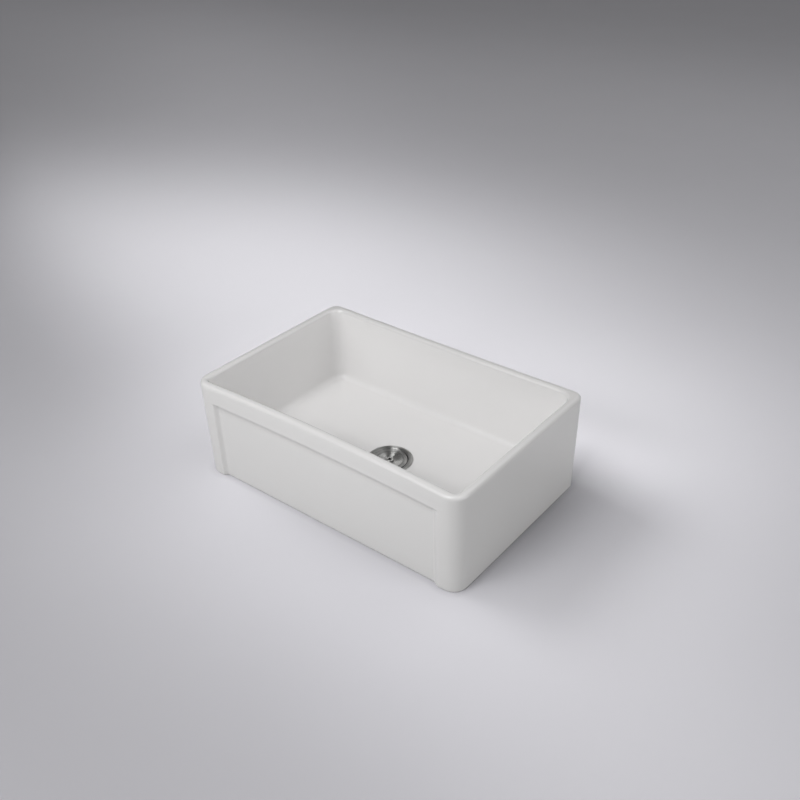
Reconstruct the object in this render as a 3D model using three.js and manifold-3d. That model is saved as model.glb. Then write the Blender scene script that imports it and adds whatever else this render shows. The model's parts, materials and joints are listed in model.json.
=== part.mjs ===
// Farmhouse apron front sink with its basket strainer, as an assembly of separate solids.
// Millimetres. X runs along the apron, Y from the apron to the back, Z up; the foot stands on z = 0.
import * as THREE from 'three';
import { mergeVertices } from 'three/addons/utils/BufferGeometryUtils.js';
import Module from 'manifold-3d';

const wasm = await Module();
wasm.setup();

// ---------------------------------------------------------------- basin: driving dimensions
const basinLength = 762; // along X, at the rim
const basinWidth = 493; // along Y, at the rim's corners
const basinHeight = 254;
const rimWidth = 21.5; // thickness of the walls at the rim
const outerLean = 5; // how far the outer walls lie further in at the foot
const innerLean = 8; // how far the inner walls lie further in at the floor
const frontCornerRadius = 38;
const backCornerRadius = 26;
const innerFrontCornerRadius = 12;
const innerBackCornerRadius = 31;
const floorCornerRadius = 22;
const rimOuterRadius = 9.5;
const rimInnerRadius = 8.5;
const footEdgeRadius = 2;
const frontBow = 9.7; // kiln bow: how far the middle of the apron's rim lies in, fading to the foot
const backBow = 3.5;

// apron: a top rail and two stiles round one recessed panel that runs out at the foot
const railWidth = 46.5;
const stileWidth = 53.5;
const panelDepth = 8;
const railStepWidth = 6; // from the rail down into the panel
const stileStepWidth = 14; // softer, from each stile into the panel

// floor and underside
const floorHeight = 46; // of the seat round the drain hole
const floorFall = 6; // from the foot of the walls to the drain
const floorFillet = 30;
const floorThickness = 20; // at the drain
const drainSeatRadius = 66;
const drainHoleRadius = 45.5;
const footWidth = 42; // of the band that the basin stands on
const hollowLean = 3; // draft of the hollow in the underside
const hollowFillet = 10;
const hollowCornerRadius = 24;

// ---------------------------------------------------------------- strainer: driving dimensions
const seatGap = 0.3; // between pieces that seat on each other
const flangeRadius = 57.15; // a 4 1/2 in flange
const flangeThickness = 1.6;
const flangeSealThickness = 0.8;
const flangeSealWidth = 9;
const throatRadius = 46; // inner edge of the flange's top
const throatDepth = 4.5; // of the taper that the lid seals on
const cupRadius = 43; // inside, from the taper to the shelf
const shelfDepth = 8.5; // from the flange's top down to the shelf that the basket hangs on
const lowerCupRadius = 40.5;
const holeClearance = 0.8;
const cupFloorThickness = 1.8;
const outletRadius = 23.9; // outside of a 1 1/2 in thread
const outletBoreRadius = 20;
const outletLength = 8;
const threadClearance = 0.4;
const gasketThickness = 3;
const gasketWidth = 13;
const frictionRingThickness = 1;
const frictionRingWidth = 12;
const locknutHeight = 7;
const locknutWall = 8;
const locknutLugReach = 5;
const locknutLugWidth = 11;
const locknutLugs = 6;
const groundClearance = 0.8; // under the coupling nut
const couplingHeight = 12;
const couplingWall = 4;
const couplingLipThickness = 1.8;
const couplingRibReach = 1.6;
const couplingRibWidth = 5;
const couplingRibs = 8;
const outletWasherThickness = 2;
const outletWasherClearance = 0.4;

// basket
const basketClearance = 0.5; // round its rim
const basketSheet = 1.2;
const basketWallClearance = 0.7;
const basketTaper = 3.8; // how far the wall draws in from the rim to the floor
const basketFloorGap = 3.5; // above the floor of the strainer's cup
const basketHoleRadius = 2.1;
const basketHoleRings = [{ radius: 9, count: 6 }, { radius: 18, count: 12 }, { radius: 27.5, count: 16 }];
const basketSlotWidth = 3.2;
const basketSlotFoot = 4; // above the basket's floor
const basketSlotHeight = 12;
const basketSlots = 14;
const postRadius = 3.2; // of the post that lifts the basket
const postHeadRadius = 6.5;
const postHeadHeight = 3;
const postThreadRadius = 2;
const postGap = 2.4; // below the screw of the lid
const postNutRadius = 5;
const postNutHeight = 2.2;
const postEndLength = 0.5; // of thread past the nut

// lid
const lidClearance = 0.75; // round the plate, in the taper
const lidSheet = 1.2;
const lidTopDrop = 1.9; // from the flange's top down to the lid's rim
const lidRimWidth = 6.7;
const lidDishDepth = 5.2;
const lidHubRadius = 12;
const lidSealWidth = 5.7;
const lidSealThickness = 2.1;
const knobHeadRadius = 8.5;
const knobHeight = 7.3;
const knobHeadHeight = 3;
const knobNeckRadius = 5;
const knobBaseRadius = 6.5;
const knobBaseHeight = 1.5;
const knobRecessRadius = 4.7;
const knobRecessDepth = 2.8;
const knobRound = 0.6;
const screwRadius = 1.7;
const screwClearance = 0.3; // round the knob's screw and the post's thread
const screwHeadRadius = 4;
const screwHeadHeight = 2;
const screwTipDrop = 0.4; // below the floor of the knob's recess
const washerRadius = 5.5;
const washerThickness = 0.8;

// how finely the curves are divided
const cornerSteps = 6;
const filletSteps = 5;
const roundSteps = 40;
const smallRoundSteps = 24;

// ---------------------------------------------------------------- materials
function material(color, roughness, metalness) {
  return new THREE.MeshStandardMaterial({ color, roughness, metalness });
}

const fireclay = material(0xe9e9e7, 0.16, 0);
const brushedSteel = material(0x9a9a99, 0.34, 1);
const brass = material(0xb0995f, 0.4, 1);
const rubber = material(0x26262a, 0.8, 0);
const fibre = material(0x8d7a5e, 0.9, 0);
const nutPlastic = material(0xe4e2dc, 0.5, 0);

// ---------------------------------------------------------------- solids
function closedGeometry(positions, triangles) {
  const geometry = new THREE.BufferGeometry();
  geometry.setAttribute('position', new THREE.Float32BufferAttribute(positions, 3));
  geometry.setIndex(triangles);
  return geometry;
}

function toSolid(geometry) {
  const bare = geometry.clone();
  bare.deleteAttribute('normal');
  bare.deleteAttribute('uv');
  const merged = mergeVertices(bare, 1e-3);
  const vertProperties = new Float32Array(merged.attributes.position.array);
  const triVerts = new Uint32Array(merged.index.array);
  return new wasm.Manifold(new wasm.Mesh({ numProp: 3, vertProperties, triVerts }));
}

function toGeometry(solid) {
  const { vertProperties, triVerts } = solid.getMesh();
  return closedGeometry(Array.from(vertProperties), Array.from(triVerts));
}

// A closed profile of [radius, z] pairs, counter-clockwise with z up, turned about Z.
function turned(profile, steps = roundSteps) {
  const onAxis = profile[0][0] === 0;
  const closed = onAxis ? profile : [...profile, profile[0]];
  const points = closed.map(([radius, z]) => new THREE.Vector2(radius, z));
  return new THREE.LatheGeometry(points, steps).rotateX(Math.PI / 2);
}

function flatRing(innerRadius, outerRadius, bottom, top, steps = roundSteps) {
  const section = [[innerRadius, bottom], [outerRadius, bottom], [outerRadius, top], [innerRadius, top]];
  return turned(section, steps);
}

function block(sizeX, sizeY, bottom, top, x) {
  return new THREE.BoxGeometry(sizeX, sizeY, top - bottom).translate(x, 0, (bottom + top) / 2);
}

// A ring with bars of a given width round its outside, each starting inside the ring's wall.
function ribbed(ring, outerRadius, wall, reach, width, count, bottom, top) {
  const length = reach + wall / 2;
  const bar = block(length, width, bottom, top, outerRadius + reach - length / 2);
  let solid = toSolid(ring);
  for (let i = 0; i < count; i += 1) {
    solid = solid.add(toSolid(bar.clone().rotateZ((i / count) * 2 * Math.PI)));
  }
  return toGeometry(solid);
}

const smooth = (t) => {
  const s = Math.min(Math.max(t, 0), 1);
  return s * s * (3 - 2 * s);
};

// ---------------------------------------------------------------- basin
const halfLength = basinLength / 2;
const halfWidth = basinWidth / 2;
const panelHalfWidth = halfLength - stileWidth;
const railFoot = basinHeight - railWidth;
const wallFootHeight = floorHeight + floorFall;
const undersideHeight = floorHeight - floorThickness;

function evenSteps(from, to, count) {
  return Array.from({ length: count - 1 }, (_, i) => from + ((to - from) * (i + 1)) / count);
}

const softSteps = [0, 0.25, 0.5, 0.75, 1];

// Places along the apron: across both soft steps of the panel, and evenly between them.
function apronPlaces() {
  const left = softSteps.map((t) => t * stileStepWidth - panelHalfWidth);
  const right = left.map((x) => -x).reverse();
  return [...left, ...evenSteps(left[left.length - 1], right[0], 8), ...right];
}

// The long walls bow in between their corners, more and more towards the rim.
function bowed(x, y, z) {
  const rise = (z / basinHeight) ** 2;
  const along = (cornerRadius) => 1 - (x / (halfLength - cornerRadius)) ** 2;
  if (y < 0) {
    return y + frontBow * rise * along(frontCornerRadius);
  }
  return y - backBow * rise * along(backCornerRadius);
}

function recess(x, z) {
  const fromStile = smooth((panelHalfWidth - Math.abs(x)) / stileStepWidth);
  const fromRail = smooth((railFoot - z) / railStepWidth);
  return panelDepth * fromStile * fromRail;
}

// One outline of the basin, counter-clockwise from above, drawn in by inset from the rim's outer edge.
function outline(inset, z, frontRadius, backRadius, fine) {
  const x1 = halfLength - inset;
  const y1 = halfWidth - inset;
  const frontEnd = x1 - frontRadius;
  const backEnd = x1 - backRadius;
  const points = [];
  const side = (places) => points.push(...places);
  const corner = (cx, cy, radius, startTurn) => {
    for (let i = 0; i <= cornerSteps; i += 1) {
      const angle = ((startTurn + i / cornerSteps) * Math.PI) / 2;
      points.push([cx + radius * Math.cos(angle), cy + radius * Math.sin(angle)]);
    }
  };
  side((fine ? apronPlaces() : evenSteps(-frontEnd, frontEnd, 8)).map((x) => [x, -y1]));
  corner(frontEnd, frontRadius - y1, frontRadius, -1);
  side(evenSteps(frontRadius - y1, y1 - backRadius, 4).map((y) => [x1, y]));
  corner(backEnd, y1 - backRadius, backRadius, 0);
  side(evenSteps(backEnd, -backEnd, 8).map((x) => [x, y1]));
  corner(-backEnd, y1 - backRadius, backRadius, 1);
  side(evenSteps(y1 - backRadius, frontRadius - y1, 4).map((y) => [-x1, y]));
  corner(-frontEnd, frontRadius - y1, frontRadius, 2);
  return points.map(([x, y]) => {
    const pushed = fine && y < 0 ? recess(x, z) : 0;
    return [x, bowed(x, y, z) + pushed, z];
  });
}

function circle(radius, z) {
  return Array.from({ length: roundSteps }, (_, i) => {
    const angle = (i / roundSteps) * 2 * Math.PI;
    return [radius * Math.cos(angle), radius * Math.sin(angle), z];
  });
}

function outerRings() {
  const rings = [];
  const add = (inset, z) => {
    const front = frontCornerRadius - inset;
    const back = backCornerRadius - inset;
    rings.push(outline(inset, z, front, back, true));
  };
  const lean = (z) => outerLean * (1 - z / basinHeight);
  for (let i = 0; i < 3; i += 1) {
    const angle = (i / 3) * (Math.PI / 2);
    const z = footEdgeRadius * (1 - Math.cos(angle));
    add(lean(z) + footEdgeRadius * (1 - Math.sin(angle)), z);
  }
  const panelTop = railFoot - railStepWidth;
  const filletStart = basinHeight - rimOuterRadius;
  const levels = [
    footEdgeRadius,
    ...evenSteps(footEdgeRadius, panelTop, 4),
    ...softSteps.map((t) => panelTop + t * railStepWidth),
    (railFoot + filletStart) / 2,
  ];
  levels.forEach((z) => add(lean(z), z));
  for (let i = 0; i <= filletSteps; i += 1) {
    const angle = (i / filletSteps) * (Math.PI / 2);
    const z = filletStart + rimOuterRadius * Math.sin(angle);
    add(lean(z) + rimOuterRadius * (1 - Math.cos(angle)), z);
  }
  return rings;
}

function innerRings() {
  const rings = [];
  const wallTop = basinHeight - rimInnerRadius;
  const wallFoot = wallFootHeight + floorFillet;
  const add = (inset, z, share) => {
    const grown = Math.max(rimWidth - inset, 0);
    const front = THREE.MathUtils.lerp(innerFrontCornerRadius, floorCornerRadius, share) + grown;
    const back = THREE.MathUtils.lerp(innerBackCornerRadius, floorCornerRadius, share) + grown;
    rings.push(outline(inset, z, front, back, false));
  };
  for (let i = 0; i <= filletSteps; i += 1) {
    const angle = (i / filletSteps) * (Math.PI / 2);
    add(rimWidth - rimInnerRadius * (1 - Math.sin(angle)), wallTop + rimInnerRadius * Math.cos(angle), 0);
  }
  const wallSteps = 4;
  for (let i = 1; i < wallSteps; i += 1) {
    const t = i / wallSteps;
    add(rimWidth + innerLean * t, THREE.MathUtils.lerp(wallTop, wallFoot, t), 0);
  }
  for (let i = 0; i <= filletSteps; i += 1) {
    const t = i / filletSteps;
    const angle = t * (Math.PI / 2);
    const inset = rimWidth + innerLean + floorFillet * (1 - Math.cos(angle));
    add(inset, wallFoot - floorFillet * Math.sin(angle), t);
  }
  return rings;
}

// The floor falls evenly from the foot of the walls to the flat seat round the drain.
function floorRings(edge) {
  const halfway = edge.map(([x, y, z]) => {
    const share = 0.5 * (1 + drainSeatRadius / Math.hypot(x, y));
    return [x * share, y * share, (z + floorHeight) / 2];
  });
  return [halfway, circle(drainSeatRadius, floorHeight), circle(drainHoleRadius, floorHeight)];
}

function undersideRings() {
  const rings = [circle(drainHoleRadius, undersideHeight)];
  const add = (inset, z) => rings.push(outline(inset, z, hollowCornerRadius, hollowCornerRadius, false));
  const topInset = outerLean + footWidth + hollowLean;
  for (let i = 0; i <= 3; i += 1) {
    const angle = (i / 3) * (Math.PI / 2);
    const inset = topInset + hollowFillet * (1 - Math.sin(angle));
    add(inset, undersideHeight - hollowFillet * (1 - Math.cos(angle)));
  }
  add(outerLean + footWidth, 0);
  return rings;
}

const turnOf = ([x, y]) => Math.atan2(y, x);

// Joins two outlines that have different numbers of points, by their direction from the middle.
function stitched(a, b, offsetA, offsetB, triangles) {
  const first = turnOf(a[0]);
  const after = (p) => (turnOf(p) - first + 4 * Math.PI) % (2 * Math.PI);
  let start = 0;
  b.forEach((p, j) => {
    if (after(p) < after(b[start])) {
      start = j;
    }
  });
  const turnA = (i) => (i >= a.length ? 2 * Math.PI : 0) + after(a[i % a.length]);
  const turnB = (j) => (j >= b.length ? 2 * Math.PI : 0) + after(b[(start + j) % b.length]);
  let i = 0;
  let j = 0;
  while (i < a.length || j < b.length) {
    const ai = offsetA + (i % a.length);
    const bj = offsetB + ((start + j) % b.length);
    const stepA = j >= b.length || (i < a.length && turnA(i + 1) <= turnB(j + 1));
    if (stepA) {
      i += 1;
      triangles.push(ai, offsetA + (i % a.length), bj);
    } else {
      j += 1;
      triangles.push(ai, offsetB + ((start + j) % b.length), bj);
    }
  }
}

function paired(count, offsetA, offsetB, triangles) {
  for (let i = 0; i < count; i += 1) {
    const next = (i + 1) % count;
    triangles.push(offsetA + i, offsetA + next, offsetB + next);
    triangles.push(offsetA + i, offsetB + next, offsetB + i);
  }
}

// A closed band of outlines, where the last one meets the first again.
function closedBand(rings) {
  const offsets = [];
  const positions = [];
  rings.forEach((ring) => {
    offsets.push(positions.length / 3);
    ring.forEach((point) => positions.push(...point));
  });
  const triangles = [];
  rings.forEach((ring, k) => {
    const next = (k + 1) % rings.length;
    if (ring.length === rings[next].length) {
      paired(ring.length, offsets[k], offsets[next], triangles);
    } else {
      stitched(ring, rings[next], offsets[k], offsets[next], triangles);
    }
  });
  return closedGeometry(positions, triangles);
}

function basin() {
  const inner = innerRings();
  const floorEdge = inner[inner.length - 1];
  return closedBand([...outerRings(), ...inner, ...floorRings(floorEdge), ...undersideRings()]);
}

// ---------------------------------------------------------------- strainer body and its fixing
const flangeFoot = floorHeight + seatGap + flangeSealThickness + seatGap;
const flangeTop = flangeFoot + flangeThickness;
const throatFoot = flangeTop - throatDepth;
const shelfHeight = flangeTop - shelfDepth;
const bodyRadius = drainHoleRadius - holeClearance;
const nutLipTop = groundClearance + couplingLipThickness;
const outletEnd = nutLipTop + seatGap + outletWasherThickness + seatGap;
const cupFoot = outletEnd + outletLength;
const cupFloor = cupFoot + cupFloorThickness;
const threadRadius = bodyRadius + threadClearance;
const gasketTop = undersideHeight - seatGap;
const gasketFoot = gasketTop - gasketThickness;
const frictionTop = gasketFoot - seatGap;
const frictionFoot = frictionTop - frictionRingThickness;
const locknutTop = frictionFoot - seatGap;
const locknutFoot = locknutTop - locknutHeight;

function strainerBody() {
  const lip = flangeThickness / 2;
  return turned([
    [bodyRadius, cupFoot],
    [bodyRadius, flangeFoot],
    [flangeRadius - lip, flangeFoot],
    [flangeRadius, flangeFoot + lip / 2],
    [flangeRadius - lip / 2, flangeFoot + lip],
    [flangeRadius - 3 * lip, flangeTop],
    [throatRadius + lip / 2, flangeTop],
    [throatRadius, flangeTop - lip / 2],
    [cupRadius, throatFoot],
    [cupRadius, shelfHeight],
    [lowerCupRadius, shelfHeight],
    [lowerCupRadius, cupFloor],
    [outletBoreRadius, cupFloor],
    [outletBoreRadius, outletEnd],
    [outletRadius, outletEnd],
    [outletRadius, cupFoot],
  ]);
}

function lowerRing(width, bottom, top) {
  return flatRing(threadRadius, threadRadius + width, bottom, top);
}

function locknut() {
  const ring = lowerRing(locknutWall, locknutFoot, locknutTop);
  const outer = threadRadius + locknutWall;
  const lugs = [locknutLugReach, locknutLugWidth, locknutLugs];
  return ribbed(ring, outer, locknutWall, ...lugs, locknutFoot, locknutTop);
}

function couplingNut() {
  const bore = outletRadius + threadClearance;
  const outer = bore + couplingWall;
  const top = groundClearance + couplingHeight;
  const ring = turned([
    [outletBoreRadius, groundClearance],
    [outer, groundClearance],
    [outer, top],
    [bore, top],
    [bore, nutLipTop],
    [outletBoreRadius, nutLipTop],
  ]);
  const ribs = [couplingRibReach, couplingRibWidth, couplingRibs];
  return ribbed(ring, outer, couplingWall, ...ribs, groundClearance, top);
}

function outletWasher() {
  const bottom = nutLipTop + seatGap;
  const outer = outletRadius - outletWasherClearance;
  return flatRing(outletBoreRadius, outer, bottom, bottom + outletWasherThickness);
}

function flangeSeal() {
  const bottom = floorHeight + seatGap;
  const inner = drainHoleRadius + seatGap;
  return flatRing(inner, inner + flangeSealWidth, bottom, bottom + flangeSealThickness);
}

// ---------------------------------------------------------------- basket
const basketRimRadius = cupRadius - basketClearance;
const basketRimFoot = shelfHeight + seatGap;
const basketTop = basketRimFoot + basketSheet;
const basketWallRadius = lowerCupRadius - basketWallClearance;
const basketFootRadius = basketWallRadius - basketTaper;
const basketFloorFoot = cupFloor + basketFloorGap;
const basketFloor = basketFloorFoot + basketSheet;
const postHoleRadius = postThreadRadius + screwClearance;
const postNutTop = basketFloorFoot - seatGap;
const postNutFoot = postNutTop - postNutHeight;

function basketCup() {
  const shell = turned([
    [postHoleRadius, basketFloorFoot],
    [basketFootRadius - 2 * basketSheet, basketFloorFoot],
    [basketFootRadius, basketFloorFoot + 2 * basketSheet],
    [basketWallRadius, basketRimFoot],
    [basketRimRadius, basketRimFoot],
    [basketRimRadius, basketTop],
    [basketWallRadius - basketSheet, basketTop],
    [basketFootRadius - basketSheet, basketFloor + 2 * basketSheet],
    [basketFootRadius - 3 * basketSheet, basketFloor],
    [postHoleRadius, basketFloor],
  ]);
  let solid = toSolid(shell);
  const drillBottom = basketFloorFoot - basketSheet;
  const drillHeight = 3 * basketSheet;
  basketHoleRings.forEach(({ radius, count }) => {
    for (let i = 0; i < count; i += 1) {
      const angle = (i / count) * 2 * Math.PI;
      const drill = new THREE.CylinderGeometry(basketHoleRadius, basketHoleRadius, drillHeight, 6);
      drill.rotateX(Math.PI / 2).translate(radius, 0, drillBottom + drillHeight / 2).rotateZ(angle);
      solid = solid.subtract(toSolid(drill));
    }
  });
  const slotBottom = basketFloor + basketSlotFoot;
  const reach = 6 * basketSheet;
  const slot = block(reach, basketSlotWidth, slotBottom, slotBottom + basketSlotHeight, basketFootRadius);
  for (let i = 0; i < basketSlots; i += 1) {
    solid = solid.subtract(toSolid(slot.clone().rotateZ(((i + 0.5) / basketSlots) * 2 * Math.PI)));
  }
  return toGeometry(solid);
}

function basketPost() {
  const top = screwHeadFoot - postGap;
  const shoulder = basketFloor + seatGap;
  const end = postNutFoot - postEndLength;
  return turned([
    [0, end],
    [postThreadRadius, end],
    [postThreadRadius, shoulder],
    [postRadius, shoulder],
    [postRadius, top - postHeadHeight],
    [postHeadRadius, top - postHeadHeight + knobRound],
    [postHeadRadius, top - knobRound],
    [postHeadRadius - knobRound, top],
    [0, top],
  ], smallRoundSteps);
}

// ---------------------------------------------------------------- lid
const lidTop = flangeTop - lidTopDrop;
const lidUnder = lidTop - lidSheet;

function taperRadius(z) {
  return cupRadius + ((throatRadius - cupRadius) * Math.max(z - throatFoot, 0)) / throatDepth;
}

const lidRadius = taperRadius(lidUnder) - lidClearance;
const dishRadius = lidRadius - lidRimWidth;
const hubTop = lidTop - lidDishDepth;
const hubUnder = hubTop - lidSheet;
const knobFoot = hubTop + seatGap;
const knobTop = knobFoot + knobHeight;
const knobRecessFloor = knobTop - knobRecessDepth;
const screwHoleRadius = screwRadius + screwClearance;
const washerTop = hubUnder - seatGap;
const washerFoot = washerTop - washerThickness;
const screwHeadTop = washerFoot - seatGap;
const screwHeadFoot = screwHeadTop - screwHeadHeight;

// The dish's profile from its edge to the hub, falling in a soft S.
function dishProfile(top) {
  return [0, 0.2, 0.4, 0.7, 1].map((t) => {
    const radius = THREE.MathUtils.lerp(dishRadius, lidHubRadius, t);
    return [radius, top - lidDishDepth * smooth(t)];
  });
}

function lidPlate() {
  return turned([
    [screwHoleRadius, hubUnder],
    ...dishProfile(lidUnder).reverse(),
    [lidRadius, lidUnder],
    [lidRadius, lidTop],
    ...dishProfile(lidTop),
    [screwHoleRadius, hubTop],
  ]);
}

function lidSeal() {
  const top = lidUnder - seatGap;
  const bottom = top - lidSealThickness;
  const outerTop = taperRadius(top) - seatGap;
  const outerFoot = taperRadius(bottom) - seatGap;
  const inner = outerFoot - lidSealWidth;
  const taperStart = Math.max(throatFoot, bottom);
  const outerStart = taperRadius(taperStart) - seatGap;
  return turned([
    [inner, bottom],
    [outerFoot, bottom],
    [outerStart, taperStart],
    [outerTop, top],
    [inner, top],
  ]);
}

function lidKnob() {
  const headFoot = knobTop - knobHeadHeight;
  return turned([
    [screwHoleRadius, knobFoot],
    [knobBaseRadius, knobFoot],
    [knobNeckRadius, knobFoot + knobBaseHeight],
    [knobNeckRadius, headFoot - knobRound],
    [knobHeadRadius, headFoot],
    [knobHeadRadius, knobTop - knobRound],
    [knobHeadRadius - knobRound, knobTop],
    [knobRecessRadius + knobRound, knobTop],
    [knobRecessRadius, knobTop - knobRound],
    [knobRecessRadius, knobRecessFloor],
    [screwHoleRadius, knobRecessFloor],
  ], smallRoundSteps);
}

function knobScrew() {
  const tip = knobRecessFloor - screwTipDrop;
  return turned([
    [0, screwHeadFoot],
    [screwHeadRadius, screwHeadFoot],
    [screwHeadRadius, screwHeadTop],
    [screwRadius, screwHeadTop],
    [screwRadius, tip],
    [0, tip],
  ], smallRoundSteps);
}

function smallRing(innerRadius, outerRadius, bottom, top) {
  return flatRing(innerRadius, outerRadius, bottom, top, smallRoundSteps);
}

// ---------------------------------------------------------------- assembly
const sink = new THREE.Group();

function place(name, geometry, finish) {
  const mesh = new THREE.Mesh(geometry, finish);
  mesh.name = name;
  sink.add(mesh);
}

place('basin', basin(), fireclay);
place('strainer_body', strainerBody(), brushedSteel);
place('flange_seal', flangeSeal(), rubber);
place('lower_gasket', lowerRing(gasketWidth, gasketFoot, gasketTop), rubber);
place('friction_ring', lowerRing(frictionRingWidth, frictionFoot, frictionTop), fibre);
place('locknut', locknut(), brass);
place('outlet_washer', outletWasher(), rubber);
place('coupling_nut', couplingNut(), nutPlastic);
place('basket_cup', basketCup(), brushedSteel);
place('basket_post', basketPost(), brushedSteel);
place('post_nut', smallRing(postHoleRadius, postNutRadius, postNutFoot, postNutTop), brushedSteel);
place('lid_plate', lidPlate(), brushedSteel);
place('lid_seal', lidSeal(), rubber);
place('lid_knob', lidKnob(), brushedSteel);
place('knob_washer', smallRing(screwHoleRadius, washerRadius, washerFoot, washerTop), rubber);
place('knob_screw', knobScrew(), brushedSteel);

export default sink;
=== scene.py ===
"""Farmhouse apron front sink: fine surfaces, finishes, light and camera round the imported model.

Lengths are in metres. +X runs along the apron to the right, +Y from the apron to the back and +Z up.
"""
import json
import math

import bmesh
import bpy
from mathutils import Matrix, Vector


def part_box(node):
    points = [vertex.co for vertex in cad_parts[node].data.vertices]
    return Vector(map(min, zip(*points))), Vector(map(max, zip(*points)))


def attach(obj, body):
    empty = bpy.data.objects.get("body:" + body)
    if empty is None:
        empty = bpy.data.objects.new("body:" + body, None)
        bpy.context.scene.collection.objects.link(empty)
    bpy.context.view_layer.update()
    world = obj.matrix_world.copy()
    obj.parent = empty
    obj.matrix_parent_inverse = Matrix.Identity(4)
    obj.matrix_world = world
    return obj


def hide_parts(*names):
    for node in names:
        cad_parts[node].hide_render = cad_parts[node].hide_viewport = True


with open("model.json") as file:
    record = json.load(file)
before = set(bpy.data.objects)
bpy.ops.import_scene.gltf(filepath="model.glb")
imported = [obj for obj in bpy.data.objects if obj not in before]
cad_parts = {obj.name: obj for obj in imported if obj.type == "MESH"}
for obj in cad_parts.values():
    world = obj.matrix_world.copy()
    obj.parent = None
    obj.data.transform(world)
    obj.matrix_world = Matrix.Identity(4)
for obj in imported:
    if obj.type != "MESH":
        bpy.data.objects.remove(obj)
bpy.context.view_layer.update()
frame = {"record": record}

bl_info = {
    "name": "Farmhouse Apron Front Sink",
    "version": (1, 0, 0),
    "blender": (4, 5, 0),
    "location": "3D View > Sidebar > Sink",
    "description": "Models a fireclay apron front sink with its basket strainer, and lights it",
    "category": "Add Mesh",
}

BODY_OF = {node: body for body, nodes in frame["record"]["behaviour"]["bodies"].items() for node in nodes}
SLOT_OF = {row["node"]: row["material_slot"] for row in frame["record"]["subparts"]}
GAP = 0.0003  # between pieces that seat on each other or lie in one another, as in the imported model


def extent(node):
    """Bottom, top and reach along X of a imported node."""
    low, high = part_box(node)
    return low.z, high.z, high.x


def bottom(node):
    return extent(node)[0]


def top(node):
    return extent(node)[1]


def reach(node):
    return extent(node)[2]


# ---------------------------------------------------------------- settings
def number(name, description, default, low=0.0, **kind):
    return bpy.props.FloatProperty(name=name, description=description, default=default, min=low, **kind)


def size(name, description, default):
    return number(name, description, default, unit="LENGTH", precision=4)


def share(name, description, default):
    return number(name, description, default, max=1, subtype="FACTOR")


def degrees(name, description, default):
    return bpy.props.FloatProperty(
        name=name, description=description, default=math.radians(default), subtype="ANGLE"
    )


def colour(name, description, default):
    return bpy.props.FloatVectorProperty(
        name=name, description=description, default=default, size=3, min=0, max=1, subtype="COLOR"
    )


class BasinSizes(bpy.types.PropertyGroup):
    """Sizes of the fireclay basin."""

    length: size("Length", "Along the apron, at the rim", 0.762)
    width: size("Width", "From the apron to the back, at the rim", 0.493)
    height: size("Height", "From the foot to the rim", top("basin"))
    rim_width: size("Rim width", "Thickness of the walls at the rim", 0.0215)
    outer_lean: size("Outer lean", "How far the outer walls lie further in at the foot", 0.005)
    inner_lean: size("Inner lean", "How far the inner walls lie further in at the floor", 0.008)
    front_corner: size("Front corners", "Outer corner radius at the apron", 0.038)
    back_corner: size("Back corners", "Outer corner radius at the back", 0.026)
    inner_front_corner: size("Inner front corners", "Inner corner radius at the apron", 0.012)
    inner_back_corner: size("Inner back corners", "Inner corner radius at the back", 0.031)
    floor_corner: size("Floor corners", "Corner radius where the walls have turned into the floor", 0.022)
    rim_outer_round: size("Rim, outer edge", "Radius of the rim's outer edge", 0.0095)
    rim_inner_round: size("Rim, inner edge", "Radius of the rim's inner edge", 0.0085)
    foot_round: size("Foot edge", "Radius of the edges that the basin stands on", 0.002)
    front_bow: size("Front bow", "How far the middle of the apron's rim lies in", 0.0097)
    back_bow: size("Back bow", "How far the middle of the back's rim lies in", 0.0035)
    rail_width: size("Rail", "Height of the plain band along the top of the apron", 0.0465)
    stile_width: size("Stiles", "Width of the plain band at each end of the apron", 0.0535)
    panel_depth: size("Panel depth", "How far the panel lies back", 0.008)
    rail_step: size("Rail step", "Height of the soft step from the rail into the panel", 0.004)
    left_step: size("Left step", "Width of the step from the left stile into the panel", 0.013)
    right_step: size("Right step", "Width of the softer step from the right stile into the panel", 0.022)
    floor_height: size("Floor height", "Of the seat round the drain hole", 0.046)
    floor_fall: size("Fall", "From the foot of the walls to the drain", 0.006)
    floor_round: size("Floor edge", "Radius between walls and floor", 0.018)
    floor_thickness: size("Floor thickness", "At the drain", 0.020)
    seat_radius: size("Drain seat", "Radius of the level seat round the drain hole", 0.066)
    hole_radius: size("Drain hole", "Radius of the drain hole", 0.0455)
    hole_round: size("Drain hole edge", "Radius of the hole's edges", 0.0012)
    foot_width: size("Foot width", "Of the band that the basin stands on", 0.042)
    hollow_lean: size("Hollow lean", "Draft of the hollow underneath", 0.003)
    hollow_round: size("Hollow edge", "Radius along the hollow's ceiling", 0.010)
    hollow_corner: size("Hollow corners", "Corner radius of the hollow", 0.024)


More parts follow.
